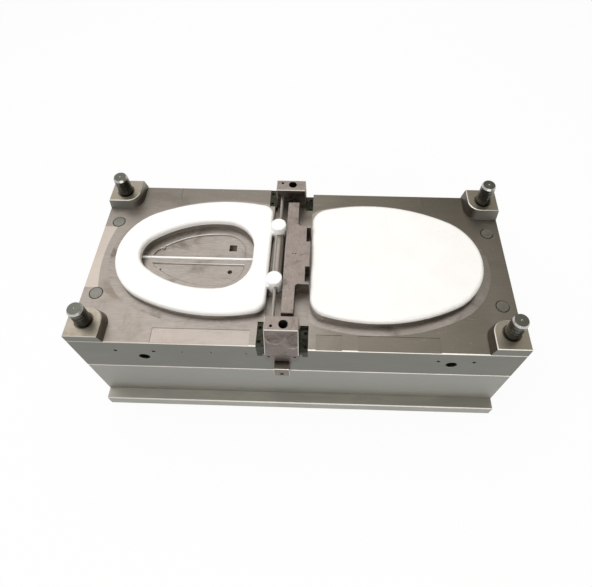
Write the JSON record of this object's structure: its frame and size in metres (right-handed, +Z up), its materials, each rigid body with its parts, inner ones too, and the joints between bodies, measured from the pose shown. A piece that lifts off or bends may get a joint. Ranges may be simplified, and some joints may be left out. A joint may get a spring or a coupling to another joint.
{
  "type": "injection mould half",
  "caption": "Moving half of an injection mould for a toilet seat and lid, with mouldings on the cores, two hinge side cores, guide pillars and a sprung ejector set.",
  "frame": {"origin": "middle of the clamp plate's underside", "axes": "+X along the mould from the seat to the lid, +Y to the back, +Z up out of the cores"},
  "size_m": [1.08, 0.552, 0.428],
  "materials": {
    "plate_steel": "ground plate steel, oiled",
    "core_steel": "milled and stoned core steel",
    "slide_steel": "ground slide steel",
    "gib_steel": "oiled dark strip steel",
    "ground_steel": "hardened, ground and oiled",
    "screw_steel": "black oxide",
    "brass": "turned brass, dulled",
    "bronze": "bearing bronze",
    "spring_steel": "painted die spring wire",
    "white_plastic": "moulded gloss white"
  },
  "bodies": {
    "mould_base": {"bottom_clamp_plate": "plate_steel", "spacer_rail_front": "plate_steel", "spacer_rail_back": "plate_steel", "core_plate": "plate_steel", "seat_core": "core_steel", "lid_core": "core_steel", "opening_insert_front": "core_steel", "opening_insert_back": "core_steel", "opening_core_pins": "core_steel", "hinge_centre_plate": "slide_steel", "spanner_plug": "slide_steel", "hinge_ridge": "core_steel", "guide_pillar_front_left": "ground_steel", "guide_pillar_front_right": "ground_steel", "guide_pillar_back_left": "ground_steel", "guide_pillar_back_right": "ground_steel", "support_pillars": "plate_steel", "ejector_guide_pins": "ground_steel", "rest_buttons": "plate_steel", "clamp_screws": "screw_steel", "cooling_plugs": "brass", "slide_wear_plate_front": "bronze", "slide_wear_plate_back": "bronze", "slide_gib_front_left": "gib_steel", "slide_gib_front_right": "gib_steel", "slide_gib_back_left": "gib_steel", "slide_gib_back_right": "gib_steel", "gib_screws": "screw_steel", "slide_stop_block_front": "slide_steel", "slide_stop_block_back": "slide_steel", "stop_block_screws": "screw_steel", "slide_stop_pins": "ground_steel", "return_springs": "spring_steel"},
    "ejector_set": {"ejector_base_plate": "plate_steel", "ejector_retainer_plate": "plate_steel", "ejector_plate_screws": "screw_steel", "return_pins": "ground_steel", "seat_ejector_pins": "ground_steel", "lid_ejector_pins": "ground_steel", "runner_puller_pin": "ground_steel", "ejector_guide_bushes": "bronze", "seat_moulding": "white_plastic", "lid_moulding": "white_plastic", "cold_runner": "white_plastic"},
    "front_slide": {"slide_front": "slide_steel", "core_rod_front": "core_steel", "rod_screw_front": "screw_steel"},
    "back_slide": {"slide_back": "slide_steel", "core_rod_back": "core_steel", "rod_screw_back": "screw_steel"}
  },
  "joints": [
    {"name": "front_slide_travel", "type": "slide", "parent": "mould_base", "child": "front_slide", "axis": [0, -1, 0], "range_m": [0, 0.026]},
    {"name": "back_slide_travel", "type": "slide", "parent": "mould_base", "child": "back_slide", "axis": [0, 1, 0], "range_m": [0, 0.026]},
    {"name": "ejector_travel", "type": "slide", "parent": "mould_base", "child": "ejector_set", "axis": [0, 0, 1], "range_m": [0, 0.06], "stiffness_N_per_m": 60000, "springref_m": -0.01, "deforming": ["return_springs"]}
  ]
}
